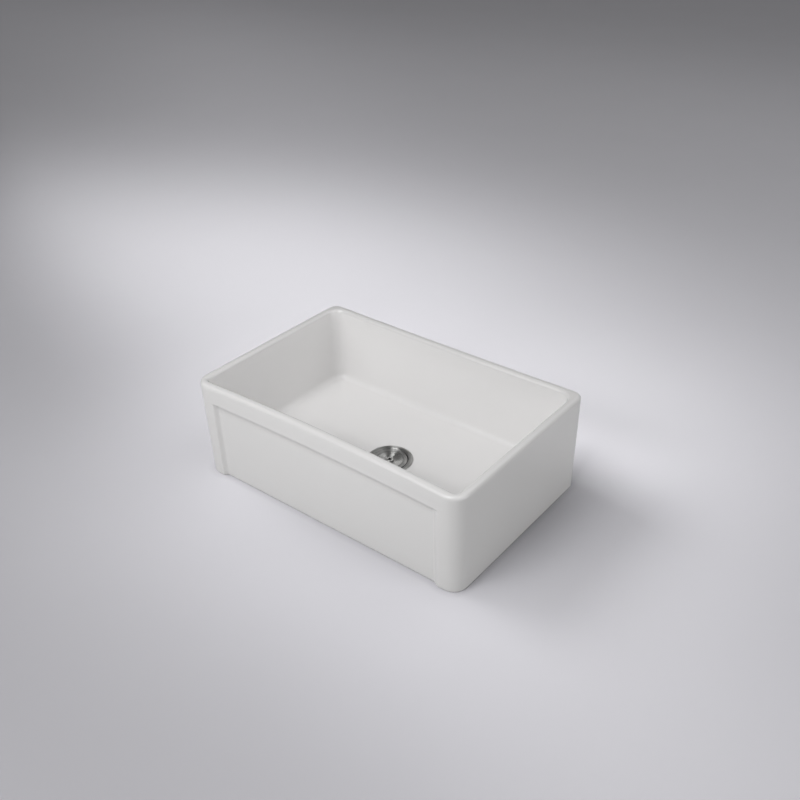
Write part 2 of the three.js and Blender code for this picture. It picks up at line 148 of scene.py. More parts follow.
class StrainerSizes(bpy.types.PropertyGroup):
    """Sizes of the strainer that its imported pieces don't give by their outsides."""

    throat_radius: size("Throat", "Inner edge of the flange's top", 0.046)
    throat_depth: size("Throat depth", "Height of the taper that the lid seals on", 0.0045)
    cup_radius: size("Cup", "Inside, from the taper to the shelf", 0.043)
    shelf_depth: size("Shelf depth", "From the flange's top to the basket's shelf", 0.0085)
    lower_cup_radius: size("Lower cup", "Inside, below the shelf", 0.0405)
    body_radius: size("Body", "Outside, in the drain hole", 0.0447)
    body_foot: size("Body foot", "Height of the cup's underside", 0.0132)
    cup_floor: size("Cup floor", "Thickness of the cup's floor", 0.0018)
    outlet_radius: size("Outlet", "Outside of the outlet's thread", 0.0239)
    outlet_bore: size("Outlet bore", "Radius of the outlet's bore", 0.020)
    thread_gap: size("Thread clearance", "Between a nut and its thread", 0.0004)
    locknut_wall: size("Locknut wall", "Thickness of the locknut's ring", 0.008)
    locknut_lug: size("Locknut lugs", "Width of each lug", 0.011)
    coupling_wall: size("Coupling nut wall", "Thickness of the coupling nut's ring", 0.004)
    coupling_lip: size("Coupling nut lip", "Thickness of the lip under the washer", 0.0018)
    coupling_rib: size("Coupling nut ribs", "Width of each rib", 0.005)
    basket_sheet: size("Basket sheet", "Thickness of the basket's sheet", 0.0012)
    basket_wall: size("Basket wall", "Radius of the basket's wall at its rim", 0.0398)
    basket_foot: size("Basket foot", "Radius of the basket's wall at its floor", 0.036)
    basket_hole: size("Basket holes", "Radius of the holes in its floor", 0.0021)
    basket_slot: size("Basket slots", "Width of the slots in its wall", 0.0032)
    lid_sheet: size("Lid sheet", "Thickness of the lid", 0.0012)
    lid_rim: size("Lid rim", "Width of the lid's level rim", 0.0067)
    lid_dish: size("Lid dish", "How far the middle of the lid lies lower", 0.0052)
    lid_hub: size("Lid hub", "Radius of the level middle of the lid", 0.012)
    knob_recess: size("Knob recess", "Radius of the recess in the knob", 0.0047)


class Finishes(bpy.types.PropertyGroup):
    """Colours of the finishes."""

    glaze: colour("Glaze", "White glaze of the basin", (0.80, 0.792, 0.789))
    bisque: colour("Bare clay", "Unglazed clay on the foot", (0.66, 0.60, 0.50))
    steel: colour("Steel", "Brushed steel of the strainer", (0.58, 0.58, 0.57))
    # Painted shade: this dark colour is laid in the strainer's gaps, in the knob's recess and under the
    # knob's head
    scale: colour("Scale", "Dark scale in the gaps of the strainer", (0.05, 0.05, 0.05))
    brass: colour("Brass", "Cast brass of the locknut", (0.55, 0.42, 0.20))
    rubber: colour("Rubber", "Seals and gaskets", (0.030, 0.030, 0.032))
    fibre: colour("Fibre", "Friction ring", (0.27, 0.19, 0.11))
    plastic: colour("Plastic", "Coupling nut", (0.75, 0.74, 0.70))


class StudioSettings(bpy.types.PropertyGroup):
    """Light, floor and camera."""

    light: number("Soft boxes", "Factor on all soft boxes", 1)
    fill: number("Fill light", "Strength of the light from all round", 0.05)
    floor_light: number("Floor light", "Factor on the lights that fall on the floor alone", 1)
    floor_level: share("Floor", "How light the floor's paint is between its patches", 0.235)
    floor_return: share("Floor return", "Share of the light that the floor throws back on the sink", 0.15)
    floor_tint: colour("Floor tint", "Tint of the floor's paint", (0.959, 0.948, 1.0))
    focal_length: number("Lens", "Focal length for a 36 mm frame, in mm", 43.03, low=1)
    camera_distance: size("Camera distance", "From the point that the camera looks at", 2.42415)
    azimuth: degrees("Camera turn", "To the right of the apron", 36.67)
    elevation: degrees("Camera height", "Angle above the floor", 32.21)


class SinkSettings(bpy.types.PropertyGroup):
    """All settings of the sink."""

    basin: bpy.props.PointerProperty(type=BasinSizes, name="Basin", description="Sizes of the basin")
    strainer: bpy.props.PointerProperty(
        type=StrainerSizes, name="Strainer", description="Sizes of the strainer"
    )
    finishes: bpy.props.PointerProperty(type=Finishes, name="Finishes", description="Colours of the finishes")
    studio: bpy.props.PointerProperty(
        type=StudioSettings, name="Studio", description="Light, floor and camera"
    )


# ---------------------------------------------------------------- modelling by hand
NEAR = 2e-5  # two places closer than this are the same
WELD = 1e-6  # vertices closer than this are merged
SEED_SIZE = 0.001  # of the plane that is merged into a profile's first point
SMOOTH_ANGLE = math.radians(35)  # edges that turn more than this stay sharp


def same(first, second):
    """Whether two lengths are the same."""
    return abs(first - second) < NEAR


def stop_editing():
    """Leaves edit mode and deselects every object."""
    active = bpy.context.object
    if active and active.mode == "EDIT":
        bpy.ops.object.mode_set(mode="OBJECT")
    bpy.ops.object.select_all(action="DESELECT")


def choose(piece):
    """Makes a piece the only selected object and the active one."""
    stop_editing()
    piece.select_set(True)
    bpy.context.view_layer.objects.active = piece


def begin(name):
    """Opens an empty mesh at the origin in edit mode."""
    stop_editing()
    bpy.ops.object.add(type="MESH", location=(0, 0, 0))
    piece = bpy.context.object
    piece.name = name
    piece.data.name = name
    bpy.ops.object.mode_set(mode="EDIT")
    bpy.ops.mesh.select_mode(type="VERT")
    return piece


def pick_parts(kind, test):
    """Selects the vertices, edges or faces that pass a test, and nothing else."""
    bpy.ops.mesh.select_all(action="DESELECT")
    bpy.ops.mesh.select_mode(type=kind)
    mesh = bmesh.from_edit_mesh(bpy.context.object.data)
    for part in {"VERT": mesh.verts, "EDGE": mesh.edges, "FACE": mesh.faces}[kind]:
        part.select = test(part)
    mesh.select_flush_mode()
    bmesh.update_edit_mesh(bpy.context.object.data)


def pick(test):
    """Selects vertices by a test of their place."""
    pick_parts("VERT", lambda vertex: test(vertex.co))


def pick_edges(test):
    """Selects edges by a test of the places of their ends."""
    pick_parts("EDGE", lambda edge: test(edge.verts[0].co, edge.verts[1].co))


def pick_faces(test):
    """Selects faces by a test of their middle and their normal."""
    pick_parts("FACE", lambda face: test(face.calc_center_median(), face.normal))


def move_points(shape, selected_only=False):
    """Moves each vertex of the mesh being edited to where a shape function puts it."""
    mesh = bmesh.from_edit_mesh(bpy.context.object.data)
    for vertex in mesh.verts:
        if vertex.select or not selected_only:
            vertex.co = shape(vertex.co)
    bmesh.update_edit_mesh(bpy.context.object.data)


def use_modifier(piece, kind, **settings):
    """Adds a modifier to a piece and applies it."""
    choose(piece)
    modifier = piece.modifiers.new(kind.title(), kind)
    for name, value in settings.items():
        setattr(modifier, name, value)
    bpy.ops.object.modifier_apply(modifier=modifier.name)


def close_surface():
    """Merges the doubles of the mesh being edited and turns its faces outwards."""
    bpy.ops.mesh.select_all(action="SELECT")
    bpy.ops.mesh.remove_doubles(threshold=WELD)
    bpy.ops.mesh.normals_make_consistent(inside=False)


def complete(piece, node, smooth_angle=SMOOTH_ANGLE):
    """Shades a finished piece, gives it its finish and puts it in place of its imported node."""
    choose(piece)
    bpy.ops.object.shade_smooth_by_angle(angle=smooth_angle)
    piece.data.materials.append(finish_of(node))
    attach(piece, BODY_OF[node])
    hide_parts(node)


def draw_profile(points, closed):
    """Draws a line through [radius, height] points by extruding one point on from the last."""
    start = Vector((points[0][0], 0, points[0][1]))
    end = Vector((points[-1][0], 0, points[-1][1]))
    bpy.ops.mesh.primitive_plane_add(size=SEED_SIZE, location=start)
    bpy.ops.mesh.merge(type="CENTER")
    for (radius, height), (last_radius, last_height) in zip(points[1:], points):
        step = (radius - last_radius, 0, height - last_height)
        bpy.ops.mesh.extrude_region_move(TRANSFORM_OT_translate={"value": step})
    if closed:
        pick(lambda place: (place - start).length < NEAR or (place - end).length < NEAR)
        bpy.ops.mesh.edge_face_add()


def turned(node, points, edge=0.0, steps=96, edge_steps=3, closed=True):
    """Turns a profile about Z into a piece named after its node, its corners rounded by an edge radius."""
    piece = begin(node + "_fine")
    draw_profile(points, closed)
    if edge:
        pick(lambda place: place.x > NEAR)
        bpy.ops.mesh.bevel(
            offset=edge, offset_type="OFFSET", segments=edge_steps, affect="VERTICES", clamp_overlap=True
        )
    bpy.ops.mesh.select_all(action="SELECT")
    bpy.ops.mesh.spin(steps=steps, angle=math.tau, center=(0, 0, 0), axis=(0, 0, 1))
    close_surface()
    return piece


def model_ring(node, inner, edge):
    """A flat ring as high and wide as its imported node."""
    low, high, outer = extent(node)
    complete(turned(node, [(inner, low), (outer, low), (outer, high), (inner, high)], edge), node)


# ---------------------------------------------------------------- finishes
class Finish:
    """A node material being wired up."""

    def __init__(self, name):
        self.material = bpy.data.materials.new(name)
        self.material.use_nodes = True
        self.tree = self.material.node_tree
        self.shader = self.tree.nodes["Principled BSDF"]
        self.place = self.add("ShaderNodeTexCoord").outputs["Object"]

    def feed(self, socket, value):
        """Links a socket to another one, or gives it a plain value."""
        if isinstance(value, bpy.types.NodeSocket):
            self.tree.links.new(value, socket)
        else:
            socket.default_value = value

    def add(self, kind, inputs=None, **settings):
        node = self.tree.nodes.new(kind)
        for name, value in settings.items():
            setattr(node, name, value)
        for name, value in (inputs or {}).items():
            self.feed(node.inputs[name], value)
        return node

    def math(self, operation, first, second=0.0):
        return self.add("ShaderNodeMath", {0: first, 1: second}, operation=operation).outputs[0]

    def times(self, first, second):
        return self.math("MULTIPLY", first, second)

    def noise(self, scale, detail=2.0, roughness=0.5, place=None):
        inputs = {"Vector": place or self.place, "Scale": scale, "Detail": detail, "Roughness": roughness}
        return self.add("ShaderNodeTexNoise", inputs).outputs["Fac"]

    def spread(self, value, low, high, start=0.0, end=1.0):
        """Maps a value between start and end to the range from low to high, and holds it there."""
        inputs = {"Value": value, "From Min": start, "From Max": end, "To Min": low, "To Max": high}
        return self.add("ShaderNodeMapRange", inputs).outputs["Result"]

    def mix(self, factor, first, second):
        """Mixes two numbers, which a Mix node takes in its sockets 2 and 3."""
        return self.add("ShaderNodeMix", {0: factor, 2: first, 3: second}, data_type="FLOAT").outputs[0]

    def blend(self, factor, first, second):
        """Mixes two colours, which a Mix node takes in its sockets 6 and 7."""
        return self.add("ShaderNodeMix", {0: factor, 6: first, 7: second}, data_type="RGBA").outputs[2]

    def shades(self, factor, rgb, dark, light):
        """A colour that runs from a darker to a lighter shade of itself."""
        return self.blend(factor, tinted(rgb, dark), tinted(rgb, light))

    def bump(self, height, distance, strength, under=None):
        inputs = {"Height": height, "Distance": distance, "Strength": strength}
        if under:
            inputs["Normal"] = under
        return self.add("ShaderNodeBump", inputs).outputs["Normal"]

    def wire(self, **sockets):
        """Sets or links the shader's sockets, named with underscores for spaces."""
        for name, value in sockets.items():
            self.feed(self.shader.inputs[name.replace("_", " ")], value)
        return self.material


def tinted(rgb, factor):
    return (rgb[0] * factor, rgb[1] * factor, rgb[2] * factor, 1.0)


GLAZE_SHADES = (0.985, 1.01)
GLAZE_GLOSS = (0.12, 0.17)  # roughness
RIM_SHADE_HEIGHTS = (0.2440, 0.2490)  # heights between which the rim's roundings get painted shade
SHADED_SIDE = (0.6, -0.8, 0.0)  # the way that the roundings face on which the shade is painted
SHADED_SPREAD = (-0.3, 0.25)  # cosines of a face with that way, from no painted shade to the darkest
RIM_SHADE = 0.89  # shade of the glaze's colour where the painted shade is darkest
BISQUE_SHADES = (0.85, 1.1)
BISQUE_ROUGHNESS = 0.85
GLAZE_START = (0.0006, 0.0012)  # heights between which the glaze starts above the foot
GLAZE_WANDER = 0.0006  # how far its start goes up and down


def glazed_fireclay(finishes):
    """White glaze, a little uneven from the kiln, with painted shade on the rim's roundings, and bare clay on
    the foot.
    """
    f = Finish("glazed_fireclay")
    glaze = f.shades(f.noise(5, 3), finishes.glaze, *GLAZE_SHADES)
    bare = f.shades(f.noise(900, 4, 0.7), finishes.bisque, *BISQUE_SHADES)
    height = f.add("ShaderNodeSeparateXYZ", {0: f.place}).outputs["Z"]
    faces = f.add("ShaderNodeTexCoord").outputs["Normal"]
    facing_shaded_side = f.add("ShaderNodeVectorMath", {0: faces, 1: SHADED_SIDE}, operation="DOT_PRODUCT").outputs["Value"]
    # Painted shade: the rim's roundings that face one way are darker
    painted_rim_shade = f.times(f.spread(height, 0, 1, *RIM_SHADE_HEIGHTS), f.spread(facing_shaded_side, 0, 1, *SHADED_SPREAD))
    glaze = f.blend(painted_rim_shade, glaze, tinted(finishes.glaze, RIM_SHADE))
    edge = f.math("ADD", height, f.spread(f.noise(140, 2), -GLAZE_WANDER, GLAZE_WANDER))
    glazed = f.spread(edge, 0, 1, *GLAZE_START)
    rough = f.mix(glazed, BISQUE_ROUGHNESS, f.spread(f.noise(30, 2), *GLAZE_GLOSS))
    waves = f.bump(f.noise(28, 1, 0.4), distance=0.0004, strength=0.25)
    peel = f.bump(f.noise(260, 2, 0.5), distance=0.00006, strength=0.3, under=waves)
    return f.wire(Base_Color=f.blend(glazed, bare, glaze), Roughness=rough, Normal=peel, IOR=1.5)


# Where the steel's finish or its painted shade changes, out from the drain's axis: the radius where it starts
# to, and where it has
RECESS_EDGE = (0.0046, 0.0048)  # of the recess in the knob
KNOB_EDGE = (0.0086, 0.0088)
UNDER_KNOB_SHADE = (0.0085, 0.0120)  # of the painted shadow on the lid round the knob's foot
DISH_EDGE = (0.0300, 0.0320)
RING_INNER = (0.0328, 0.0340)  # of the ring of painted shade outside the lid's dish
RING_OUTER = (0.0350, 0.0358)
THROAT_INNER = (0.0428, 0.0432)  # of the gap round the lid, where shade is painted
THROAT_OUTER = (0.0452, 0.0462)
TAPER_EDGE = (0.0510, 0.0530)  # of the slope inside the flange, which gets painted shade
# The same for heights and along X
KNOB_FOOT = (0.0442, 0.0446)  # below the knob's head
GAP_SHADE_SIDE = (0.004, 0.024)  # from the left half of the throat, which gets little painted shade, to the right half

# Each zone of the steel: how much of it shows, and the shade of the steel's colour that it has
BANDS = (0.6, 0.6)
# The shaded ring and the taper's shade are painted shade, where the lid turns into its dish and on the slope
# into the throat
SHADED_RING = (0.7, 0.45)
DISH = (0.6, 1.5)
TAPER_SHADE = (0.6, 0.6)
KNOB = (1, 1.35)
STROKE_SHADES = (0.80, 1.12)
# Painted shade in the dark colour of finishes.scale: in the gap round the lid, in the knob's recess and under
# the knob's head
GAP_SHADE_SHOWN = 0.9
GAP_SHADE_LEFT = 0.15  # how much of the painted shade is left in the left half of the throat

BAND_SPREAD = (0.4, 0.65)  # levels of a noise between which a brushed band shows
STROKE_ROUGHNESS = (0.33, 0.41)
ROUGHNESS_WANDER = (-0.03, 0.04)
DISH_POLISH = 0.09  # how much less rough the dish is
KNOB_ROUGHNESS = 0.13
CLIMB = 0.7  # how much a height counts as radius, so that upright walls are brushed in circles too
SWAY = 0.01  # how far the strokes sway as they go round


def ring_brushed_steel(finishes):
    """Steel brushed in circles about the drain's axis and polished on the knob, with painted shade at the
    dish's edge, on the taper, in the gap round the lid, in the knob's recess and under its head.
    """
    f = Finish("ring_brushed_steel")
    parts = f.add("ShaderNodeSeparateXYZ", {0: f.place}).outputs
    height = parts["Z"]
    radius = f.math("SQRT", f.math("ADD", f.math("POWER", parts["X"], 2), f.math("POWER", parts["Y"], 2)))
    angle = f.math("ARCTAN2", parts["Y"], parts["X"])
    around = f.add("ShaderNodeCombineXYZ", {
        0: f.math("ADD", radius, f.times(height, CLIMB)),
        1: f.times(f.math("SINE", angle), SWAY),
        2: f.times(f.math("COSINE", angle), SWAY),
    }).outputs[0]
    strokes = f.noise(2600, 3, 0.65, around)
    bands = f.spread(f.noise(330, 2, 0.5, around), 0, 1, *BAND_SPREAD)

    def within(edge):
        return f.spread(radius, 1, 0, *edge)

    def between(inner, outer):
        return f.times(f.spread(radius, 0, 1, *inner), within(outer))

    knob = f.times(within(KNOB_EDGE), f.spread(height, 0, 1, *KNOB_FOOT))
    dish = within(DISH_EDGE)
    base = f.shades(strokes, finishes.steel, *STROKE_SHADES)
    for zone, (shown, shade) in (
        (bands, BANDS),
        (between(RING_INNER, RING_OUTER), SHADED_RING),
        (dish, DISH),
        (between(THROAT_OUTER, TAPER_EDGE), TAPER_SHADE),
        (knob, KNOB),
    ):
        base = f.blend(f.times(zone, shown), base, tinted(finishes.steel, shade))
    # Painted shade: the gap round the lid, most on its right half, the lid under the knob's head, and the
    # knob's recess
    gap_shade = f.times(between(THROAT_INNER, THROAT_OUTER), f.spread(parts["X"], GAP_SHADE_LEFT, 1, *GAP_SHADE_SIDE))
    shade_under_knob = f.times(within(UNDER_KNOB_SHADE), f.spread(height, 1, 0, *KNOB_FOOT))
    recess = f.times(within(RECESS_EDGE), knob)
    scale = f.math("MAXIMUM", gap_shade, f.math("MAXIMUM", shade_under_knob, recess))
    base = f.blend(f.times(scale, GAP_SHADE_SHOWN), base, tinted(finishes.scale, 1))
    rough = f.math("ADD", f.spread(strokes, *STROKE_ROUGHNESS), f.spread(f.noise(90, 3), *ROUGHNESS_WANDER))
    rough = f.mix(knob, f.math("SUBTRACT", rough, f.times(dish, DISH_POLISH)), KNOB_ROUGHNESS)
    return f.wire(
        Base_Color=base,
        Roughness=rough,
        Normal=f.bump(strokes, distance=0.00001, strength=0.2),
        Metallic=1.0,
        Anisotropic=1.0,
        Anisotropic_Rotation=0.25,
        Tangent=f.add("ShaderNodeTangent", direction_type="RADIAL", axis="Z").outputs[0],
    )


def cast_brass(finishes):
    """Sand-cast skin with patches of tarnish."""
    f = Finish("cast_brass")
    tarnish = f.noise(60, 4, 0.6)
    base = f.shades(tarnish, finishes.brass, 0.7, 1.1)
    skin = f.bump(f.noise(700, 3), distance=0.0001, strength=0.4)
    return f.wire(Base_Color=base, Roughness=f.spread(tarnish, 0.34, 0.55), Normal=skin, Metallic=1.0)


def soft_rubber(finishes):
    """Black rubber with a paler bloom in places."""
    f = Finish("soft_rubber")
    bloom = f.noise(50, 4, 0.6)
    base = f.shades(f.spread(bloom, 0, 1, 0.45, 0.8), finishes.rubber, 1, 2.2)
    skin = f.bump(f.noise(1500, 2), distance=0.00005, strength=0.3)
    return f.wire(Base_Color=base, Roughness=f.spread(bloom, 0.6, 0.8), Normal=skin)


def pressed_fibre(finishes):
    """Brown fibre board with its flecks."""
    f = Finish("pressed_fibre")
    flecks = f.noise(900, 5, 0.75)
    base = f.shades(flecks, finishes.fibre, 0.6, 1.4)
    return f.wire(Base_Color=base, Roughness=0.9, Normal=f.bump(flecks, distance=0.0001, strength=0.5))


def moulded_plastic(finishes):
    """Off-white plastic with the fine grain of its mould."""
    f = Finish("moulded_plastic")
    cloud = f.noise(40, 3)
    base = f.shades(cloud, finishes.plastic, 0.95, 1.03)
    skin = f.bump(f.noise(1800, 2), distance=0.00003, strength=0.3)
    return f.wire(Base_Color=base, Roughness=f.spread(cloud, 0.4, 0.5), Normal=skin)


FINISH_MAKERS = {
    "fireclay": glazed_fireclay,
    "brushed_steel": ring_brushed_steel,
    "brass": cast_brass,
    "rubber": soft_rubber,
    "fibre": pressed_fibre,
    "plastic": moulded_plastic,
}


def finish_of(node):
    """The finish of a node's slot, made the first time that it is asked for."""
    maker = FINISH_MAKERS[SLOT_OF[node]]
    made = bpy.data.materials.get(maker.__name__)
    return made or maker(bpy.context.scene.sink.finishes)


# ---------------------------------------------------------------- basin
LEVEL_GAP = 1e-5  # outlines on one level are bridged this far apart, or the bridge can turn over
BASIN_SMOOTH_ANGLE = math.radians(60)
# Steps in a quarter turn
CORNER_STEPS = 5
ROUND_STEPS = 4  # of the roundings of rim and hollow
FLOOR_STEPS = 6  # of the turn from the walls to the floor
EDGE_STEPS = 3  # of the edges of foot and drain hole
# Cuts across the straight runs of the outlines, which are longer than any step of a corner
LONG_RUN = 0.2
FRONT_CUTS = 71
BACK_CUTS = 13
SIDE_CUTS = 8


def arc(steps):
    """Angles of a quarter turn."""
    return [math.pi / 2 * i / steps for i in range(steps + 1)]


def levels(low, high, count):
    """Heights between two others, evenly."""
    return [low + (high - low) * (i + 1) / (count + 1) for i in range(count)]


def smooth_step(value):
    """Rises from 0 to 1 in a soft S."""
    t = min(max(value, 0.0), 1.0)
    return t * t * (3 - 2 * t)


def mix(low, high, part):
    return low + (high - low) * part


def underside_sections(b):
    """Outlines from the hollow's ceiling out to the foot, each (inset, height, front radius, back radius)."""
    ceiling = b.floor_height - b.floor_thickness
    low = b.outer_lean + b.foot_width
    high = low + b.hollow_lean
    side_part = 0.6  # how far down the hollow's side its one outline lies
    rows = []
    for angle in arc(ROUND_STEPS):
        inset = high + b.hollow_round * (1 - math.sin(angle))
        rows.append((inset, ceiling - b.hollow_round * (1 - math.cos(angle))))
    rows.append((mix(high, low, side_part), mix(ceiling - b.hollow_round, b.foot_round, side_part)))
    for angle in arc(EDGE_STEPS):
        height = b.foot_round * (1 - math.sin(angle)) + LEVEL_GAP
        rows.append((low - b.foot_round * (1 - math.cos(angle)), height))
    return [(inset, height, b.hollow_corner, b.hollow_corner) for inset, height in rows]


def outer_sections(b):
    """Outlines from the foot up the outer walls to the rim."""
    def lean(height):
        return b.outer_lean * (1 - height / b.height)

    rows = []
    for angle in arc(EDGE_STEPS):
        height = b.foot_round * (1 - math.cos(angle))
        rows.append((lean(height) + b.foot_round * (1 - math.sin(angle)), height))
    rail_foot = b.height - b.rail_width
    panel_top = rail_foot - b.rail_step
    rim_start = b.height - b.rim_outer_round
    quarter = b.rail_step / 4
    heights = levels(b.foot_round, panel_top, 4)
    heights += [panel_top + quarter * i for i in range(-1, 6)]
    heights += levels(rail_foot + quarter, rim_start, 2)
    rows += [(lean(height), height) for height in heights]
    for angle in arc(ROUND_STEPS):
        height = rim_start + b.rim_outer_round * math.sin(angle)
        rows.append((lean(height) + b.rim_outer_round * (1 - math.cos(angle)), height))
    return [(inset, height, b.front_corner - inset, b.back_corner - inset) for inset, height in rows]


def inner_sections(b):
    """Outlines from the rim down the inner walls to the floor."""
    wall_top = b.height - b.rim_inner_round - LEVEL_GAP
    wall_foot = b.floor_height + b.floor_fall + b.floor_round
    rows = []  # (inset, height, how far the wall has turned into the floor)
    for angle in arc(ROUND_STEPS):
        inset = b.rim_width - b.rim_inner_round * (1 - math.sin(angle))
        rows.append((inset, wall_top + b.rim_inner_round * math.cos(angle), 0.0))
    for part in (0.25, 0.5, 0.75):
        rows.append((b.rim_width + b.inner_lean * part, mix(wall_top, wall_foot, part), 0.0))
    for angle in arc(FLOOR_STEPS):
        inset = b.rim_width + b.inner_lean + b.floor_round * (1 - math.cos(angle))
        rows.append((inset, wall_foot - b.floor_round * math.sin(angle), angle / (math.pi / 2)))
    sections = []
    for inset, height, turned_part in rows:
        grown = max(b.rim_width - inset, 0)
        front = mix(b.inner_front_corner, b.floor_corner, turned_part) + grown
        back = mix(b.inner_back_corner, b.floor_corner, turned_part) + grown
        sections.append((inset, height, front, back))
    return sections


def on_section(place, section, b):
    """Whether a place lies on an outline."""
    inset, height, front, back = section
    if not same(place.z, height):
        return False
    radius = front if place.y < 0 else back
    over_x = abs(place.x) - (b.length / 2 - inset - radius)
    over_y = abs(place.y) - (b.width / 2 - inset - radius)
    outside = math.hypot(max(over_x, 0), max(over_y, 0)) + min(max(over_x, over_y), 0)
    return same(outside, radius)


def add_section(section, b):
    """Adds one rounded outline: a plane whose corners are bevelled, without its face."""
    inset, height, front, back = section
    half_x = b.length / 2 - inset
    half_y = b.width / 2 - inset
    bpy.ops.mesh.select_all(action="DESELECT")
    bpy.ops.mesh.primitive_plane_add(size=1, location=(0, 0, height))
    bpy.ops.transform.resize(value=(2 * half_x, 2 * half_y, 1), center_override=(0, 0, height))
    for y, radius in ((-half_y, front), (half_y, back)):
        pick(lambda place: same(place.y, y) and same(abs(place.x), half_x) and same(place.z, height))
        bpy.ops.mesh.bevel(offset=radius, offset_type="OFFSET", segments=CORNER_STEPS, affect="VERTICES")
    pick(lambda place: on_section(place, section, b))
    bpy.ops.mesh.delete(type="ONLY_FACE")


def divide_sides():
    """Cuts the straight runs of all outlines, the front most."""
    bpy.ops.mesh.select_all(action="DESELECT")
    for cuts, test in (
        (FRONT_CUTS, lambda a, b: a.y < 0 and same(a.y, b.y) and abs(a.x - b.x) > LONG_RUN),
        (BACK_CUTS, lambda a, b: a.y > 0 and same(a.y, b.y) and abs(a.x - b.x) > LONG_RUN),
        (SIDE_CUTS, lambda a, b: same(a.x, b.x) and abs(a.y - b.y) > LONG_RUN),
    ):
        pick_edges(test)
        bpy.ops.mesh.subdivide(number_cuts=cuts)


def draw_to_circle(radius, height, part=1.0):
    """Extrudes the selected outline and draws the copy part of the way to a level circle."""
    bpy.ops.mesh.extrude_edges_move()

    def shape(place):
        scale = mix(1, radius / math.hypot(place.x, place.y), part)
        return Vector((place.x * scale, place.y * scale, mix(place.z, height, part)))

    move_points(shape, selected_only=True)


def model_basin(b):
    piece = begin("fireclay_basin")
    sections = underside_sections(b) + outer_sections(b) + inner_sections(b)
    for section in sections:
        add_section(section, b)
    divide_sides()
    for first, second in zip(sections, sections[1:]):
        pick(lambda place: on_section(place, first, b) or on_section(place, second, b))
        bpy.ops.mesh.bridge_edge_loops()
    pick(lambda place: on_section(place, sections[-1], b))
    for part in (1 / 4, 1 / 3, 1 / 2, 1):  # of the way that is left, which makes four even steps
        draw_to_circle(b.seat_radius, b.floor_height, part)
    ceiling = b.floor_height - b.floor_thickness + LEVEL_GAP
    draw_hole(b, ceiling)
    pick(lambda place: on_section(place, sections[0], b) or (
        same(place.z, ceiling) and same(math.hypot(place.x, place.y), b.seat_radius)))
    bpy.ops.mesh.bridge_edge_loops(number_cuts=2, interpolation="LINEAR")
    close_surface()
    use_modifier(piece, "SUBSURF", levels=2, render_levels=2)
    bpy.ops.object.mode_set(mode="EDIT")
    move_points(lambda place: bowed_and_pressed(place, b))
    return piece


def draw_hole(b, ceiling):
    """Draws the selected circle on into the drain hole, down it and out under the floor."""
    edge = b.hole_round
    draw_to_circle(b.hole_radius + 4 * edge, b.floor_height)  # keeps the seat level up to the hole's edge
    for angle in arc(EDGE_STEPS):
        height = b.floor_height - edge * (1 - math.cos(angle))
        draw_to_circle(b.hole_radius + edge * (1 - math.sin(angle)), height)
    for height in levels(b.floor_height - edge, ceiling + edge, 1):
        draw_to_circle(b.hole_radius, height)
    for angle in arc(EDGE_STEPS):
        height = ceiling + edge * (1 - math.sin(angle))
        draw_to_circle(b.hole_radius + edge * (1 - math.cos(angle)), height)
    draw_to_circle(b.seat_radius, ceiling)


def bowed_and_pressed(place, b):
    """Bows the long walls in towards the rim, as the kiln does, and lays the apron's panel back."""
    x, y, z = place
    rise = (z / b.height) ** 2
    hold = smooth_step(abs(y) / (b.width / 4))  # the middle of the sink stays where it is
    if y < 0:
        shift = b.front_bow * rise * (1 - (x / (b.length / 2 - b.front_corner)) ** 2)
    else:
        shift = -b.back_bow * rise * (1 - (x / (b.length / 2 - b.back_corner)) ** 2)
    panel_edge = b.length / 2 - b.stile_width
    rail_foot = b.height - b.rail_width
    outside = y < -b.width / 2 + b.outer_lean + b.foot_width / 4
    if outside:
        pressed = smooth_step((panel_edge + x) / b.left_step) * smooth_step((panel_edge - x) / b.right_step)
        shift += b.panel_depth * pressed * smooth_step((rail_foot - z) / b.rail_step)
    return Vector((x, y + shift * hold, z))


class SINK_OT_basin(bpy.types.Operator):
    """Model the fireclay basin with its apron and underside"""

    bl_idname = "sink.basin"
    bl_label = "Basin"

    def execute(self, context):
        complete(model_basin(context.scene.sink.basin), "basin", BASIN_SMOOTH_ANGLE)
        return {"FINISHED"}


# ---------------------------------------------------------------- strainer
FLANGE_CHAMFER = 0.0004
DOME_WIDTH = 0.0062  # of the flange's round outer edge
DOME_STEPS = 5
# The roll from the flange's top into the taper, out from the throat and down from the top
THROAT_ROLL = ((0.0022, 0.0001), (0.0006, 0.0006), (-0.0002, 0.0016))
CUP_TURN = 0.003  # radius from the cup's wall to its floor
BORE_CHAMFER = 0.0008
NUT_STEPS = 144
LUGS = 6  # of the locknut
RIBS = 8  # of the coupling nut


